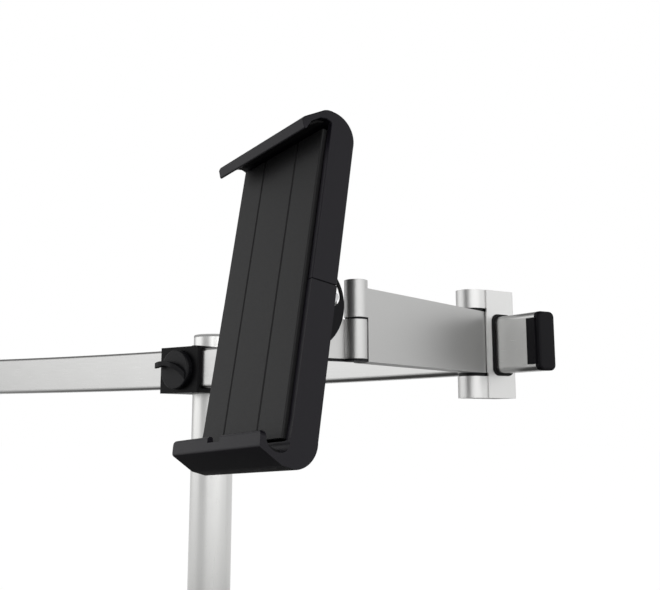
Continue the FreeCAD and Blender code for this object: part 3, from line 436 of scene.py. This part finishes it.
# Tilt joint: a black steel disc bracket with an arc slot round the stop stud, held
# to the ear by a socket-head bolt, friction washers and a nut.
bracket_coat = powder_coat(
    "powder_coat_tilt_bracket", ("18181B", "1E1E21"), roughness=0.45, orange_peel_mm=0.8)
dress("tilt_bracket", bracket_coat)
dress("tilt_stop_stud", zinc)
dress("tilt_pivot_bolt", black_steel)
dress("tilt_washers", sleeve_nylon)
dress("tilt_nut", black_steel)
dress("rotation_washers", zinc)
dress("rotation_screw", zinc)


# Tablet holder: two black moulded half shells that telescope on a steel rail, with
# a hook across the top and one across the bottom that grip the tablet's edges.
shell_plastic = moulded_plastic(
    "moulded_holder_black", ("15131A", "1B1920"), roughness=0.4, grit_mm=0.35, relief=0.15)
softened("holder_upper_shell", "upper_half_shell", "upper_body", 0.9,
         shell_plastic, turns=3)
softened("holder_lower_shell", "lower_half_shell", "holder_body", 0.9,
         shell_plastic, turns=3)
dress("holder_slide_rail", bracket_coat)
dress("slide_brake_shoes", sleeve_nylon)
dress("holder_screws", black_steel)


# Front pad: a flat black moulded plate with two fine grooves down it, matt and
# slightly lighter than the shells, on which the tablet's back rests.
pad_plastic = moulded_plastic(
    "moulded_pad_black", ("19191A", "1F1F20"), roughness=0.55, grit_mm=0.4, relief=0.25,
    gloss=0.3)
softened("front_pad", "pad_plate", "holder_body", 0.5, pad_plastic)


# Jaw liners: thin strips of black rubber glued inside the two hooks, which keep
# the tablet from slipping.
liner_rubber = moulded_plastic(
    "moulded_liner_rubber", ("0E0E0F", "151516"), roughness=0.7, grit_mm=0.6, relief=0.3)
dress("lower_hook_liner", liner_rubber)
dress("upper_hook_liner", liner_rubber)


# Studio: a pale floor, a white surround and two large soft lamps, none of it part of
# the arm. The camera stands on the right, a little below the crossbar, and looks up
# by some eleven degrees. Its lens and shift are those of the photograph's frame.
PHOTO_WIDTH_PX = 660.0
FOCAL_PX = 936.9
SHIFT_PX = -47.0
FILM_MM = 36.0
camera = bpy.data.objects.new("camera", bpy.data.cameras.new("camera"))
bpy.context.scene.collection.objects.link(camera)
camera.location = (0.6608, -0.6513, 0.31345)
camera.rotation_euler = (math.radians(90.0 + 10.71), 0.0, math.radians(38.39))
camera.data.sensor_width = FILM_MM
camera.data.lens = FILM_MM * FOCAL_PX / PHOTO_WIDTH_PX
camera.data.shift_y = SHIFT_PX / PHOTO_WIDTH_PX
camera.data.clip_start = 0.01
camera.data.clip_end = 60.0
bpy.context.scene.camera = camera
bpy.context.scene.view_settings.view_transform = "Standard"

FLOOR_HALF = 12.0
FLOOR_BELOW = 1.0 * MM
floor_corners = [(x * FLOOR_HALF, y * FLOOR_HALF, 0.0)
                 for x, y in ((-1, -1), (1, -1), (1, 1), (-1, 1))]
floor_mesh = bpy.data.meshes.new("floor")
floor_mesh.from_pydata(floor_corners, [], [(0, 1, 2, 3)])
floor = bpy.data.objects.new("floor", floor_mesh)
bpy.context.scene.collection.objects.link(floor)
floor.location = (0.0, 0.0, -FLOOR_BELOW)

# Matt paper, white to the camera but for the shadows that fall on it. To bounce light
# it is grey, a painted shade on the parts' undersides. What the metal mirrors of it is a
# glow that is darker near the pole's foot: a painted shade, set by distance alone.
# how far from the pole's foot the painted shade fades out, and its dark and pale glow
PAINTED_SHADE_FROM, PAINTED_SHADE_TO = 0.34, 1.05
PAINTED_SHADE_DARK, PAINTED_SHADE_PALE = 0.07, 0.82
white_colour = linear("FFFFFF")
floor_paint = new_material("studio_floor")
tree = floor_paint.node_tree
ray = add_node(tree, "ShaderNodeLightPath")
matt = add_node(tree, "ShaderNodeBsdfDiffuse", {"Color": white_colour})
# grey paper for bounce light only: painted shade on the undersides of the parts
painted_shade_paper = add_node(tree, "ShaderNodeBsdfDiffuse", {"Color": linear("6E6E6E")})
glow = add_node(tree, "ShaderNodeEmission", {"Color": white_colour, "Strength": 1.03})
lit_paper = add_node(tree, "ShaderNodeMixShader", {0: 0.93, 1: matt.outputs[0], 2: glow.outputs[0]})
floor_place = add_node(tree, "ShaderNodeTexCoord").outputs["Object"]
away = add_node(tree, "ShaderNodeVectorMath", {0: floor_place}, operation="LENGTH")
# painted shade: the glow that the metal mirrors dims towards the pole's foot by distance
painted_shade = add_node(tree, "ShaderNodeMapRange", {
    "Value": away.outputs["Value"], "From Min": PAINTED_SHADE_FROM, "From Max": PAINTED_SHADE_TO,
    "To Min": PAINTED_SHADE_DARK, "To Max": PAINTED_SHADE_PALE}, interpolation_type="SMOOTHSTEP")
painted_shade_glow = add_node(tree, "ShaderNodeEmission", {
    "Color": white_colour, "Strength": painted_shade.outputs[0]})
mirrored = add_node(tree, "ShaderNodeMixShader", {
    0: ray.outputs["Is Glossy Ray"], 1: painted_shade_paper.outputs[0], 2: painted_shade_glow.outputs[0]})
paper = add_node(tree, "ShaderNodeMixShader", {
    0: ray.outputs["Is Camera Ray"], 1: mirrored.outputs[0], 2: lit_paper.outputs[0]})
add_node(tree, "ShaderNodeOutputMaterial", {"Surface": paper.outputs[0]})
floor_mesh.materials.append(floor_paint)

# The surround is white to the camera. What the surfaces mirror of it is a grey room
# with soft lights in it. Each light has its direction, the angles from it at which
# it fades out and is full, and its strength; the last one is the dark ceiling.
ROOM_GREY = 0.54
ROOM_FILL = 0.62
world = bpy.data.worlds.new("studio")
bpy.context.scene.world = world
world.use_nodes = True
tree = world.node_tree
tree.nodes.clear()
ray = add_node(tree, "ShaderNodeLightPath")
way = add_node(tree, "ShaderNodeTexCoord").outputs["Generated"]
shine = add_node(tree, "ShaderNodeMath", {0: ROOM_GREY, 1: 0.0}, operation="ADD")
for azimuth, height, edge, core, strength in (
    (-33.0, 8.0, 50.0, 12.0, 1.45),
    (22.0, 8.0, 34.0, 8.0, 0.85),
    (95.0, 8.0, 52.0, 22.0, 0.42),
    (-145.0, 4.0, 38.0, 17.0, 0.95),
    (0.0, 90.0, 72.0, 30.0, -0.46),
):
    a, h = math.radians(azimuth), math.radians(height)
    aim = (math.cos(a) * math.cos(h), math.sin(a) * math.cos(h), math.sin(h))
    toward = add_node(tree, "ShaderNodeVectorMath", {0: way, 1: aim}, operation="DOT_PRODUCT")
    lobe = add_node(tree, "ShaderNodeMapRange", {
        "Value": toward.outputs["Value"], "From Min": math.cos(math.radians(edge)),
        "From Max": math.cos(math.radians(core)), "To Min": 0.0, "To Max": strength},
        interpolation_type="SMOOTHSTEP")
    shine = add_node(tree, "ShaderNodeMath", {
        0: shine.outputs[0], 1: lobe.outputs[0]}, operation="ADD")
level = add_node(tree, "ShaderNodeMix", {
    "Factor": ray.outputs["Is Glossy Ray"], 2: ROOM_FILL, 3: shine.outputs[0]},
    data_type="FLOAT")
soft = add_node(tree, "ShaderNodeBackground", {
    "Color": white_colour, "Strength": level.outputs[0]})
white = add_node(tree, "ShaderNodeBackground", {"Color": white_colour, "Strength": 1.0})
seen_through = add_node(tree, "ShaderNodeMath", {
    0: ray.outputs["Is Camera Ray"], 1: ray.outputs["Is Transmission Ray"]},
    operation="MAXIMUM")
surround = add_node(tree, "ShaderNodeMixShader", {
    0: seen_through.outputs[0], 1: soft.outputs[0], 2: white.outputs[0]})
add_node(tree, "ShaderNodeOutputWorld", {"Surface": surround.outputs[0]})

LAMP_SIZE = 2.2
for name, place, aim, watts in (
    ("key_lamp", (1.7, -2.2, 2.5), (0.25, -0.2, 0.35), 15.0),
    ("side_lamp", (-2.4, -1.9, 1.5), (0.1, -0.1, 0.35), 9.0),
):
    lamp = bpy.data.objects.new(name, bpy.data.lights.new(name, "AREA"))
    bpy.context.scene.collection.objects.link(lamp)
    lamp.data.size = LAMP_SIZE
    lamp.data.energy = watts
    lamp.visible_glossy = False
    lamp.location = place
    lamp.rotation_euler = (Vector(aim) - Vector(place)).to_track_quat("-Z", "Y").to_euler()
